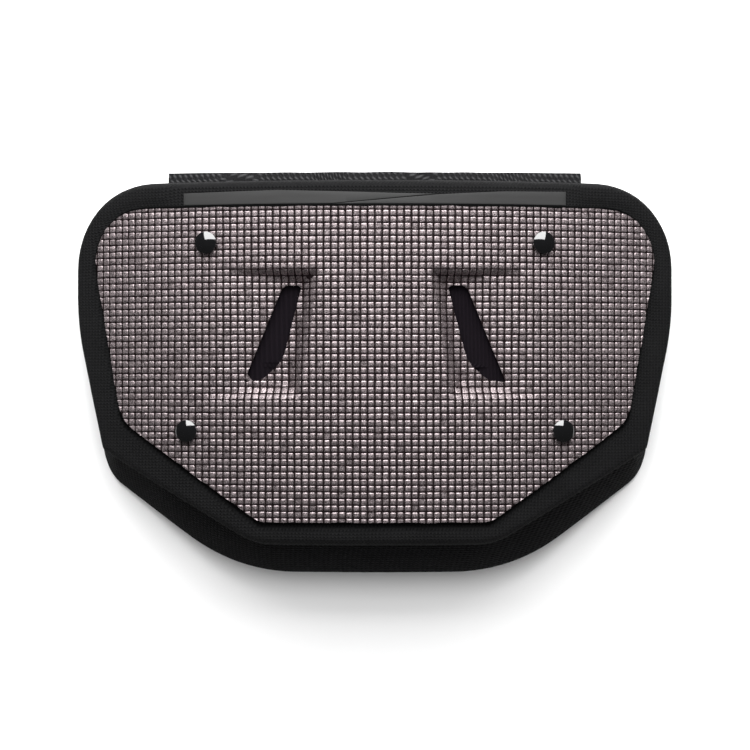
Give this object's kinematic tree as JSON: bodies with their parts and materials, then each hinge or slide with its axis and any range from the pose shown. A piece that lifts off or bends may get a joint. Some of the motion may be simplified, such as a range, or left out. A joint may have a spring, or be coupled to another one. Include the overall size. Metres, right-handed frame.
{
  "type": "football back plate",
  "caption": "Curved back plate for football pads: a hard shell with a silver grid face, slanted vents and domed rivets on a tiered black foam pad with a webbing band.",
  "frame": {"origin": "centre of the bounding box at its foot, on the floor that the plate lies on", "axes": "+X across the back, +Y up the back, +Z out of the hard face and up from the floor"},
  "size_m": [0.323, 0.2146, 0.0678],
  "materials": {
    "back_cloth": "matte mesh cloth",
    "rim_cloth": "matte fine knit",
    "shell_plastic": "satin black",
    "face_grid": "satin silver-grey raised grid",
    "grey_vinyl": "smooth grey",
    "webbing": "coarse black weave",
    "rivet_gloss": "polished black"
  },
  "bodies": {
    "root": {"back_pad": "back_cloth", "rim_pad": "rim_cloth", "front_shell": "shell_plastic", "textured_face": "face_grid", "facing_strip_left": "grey_vinyl", "facing_strip_right": "grey_vinyl", "top_webbing": "webbing", "rivet_upper_left": "rivet_gloss", "rivet_upper_right": "rivet_gloss", "rivet_lower_left": "rivet_gloss", "rivet_lower_right": "rivet_gloss"}
  },
  "joints": []
}
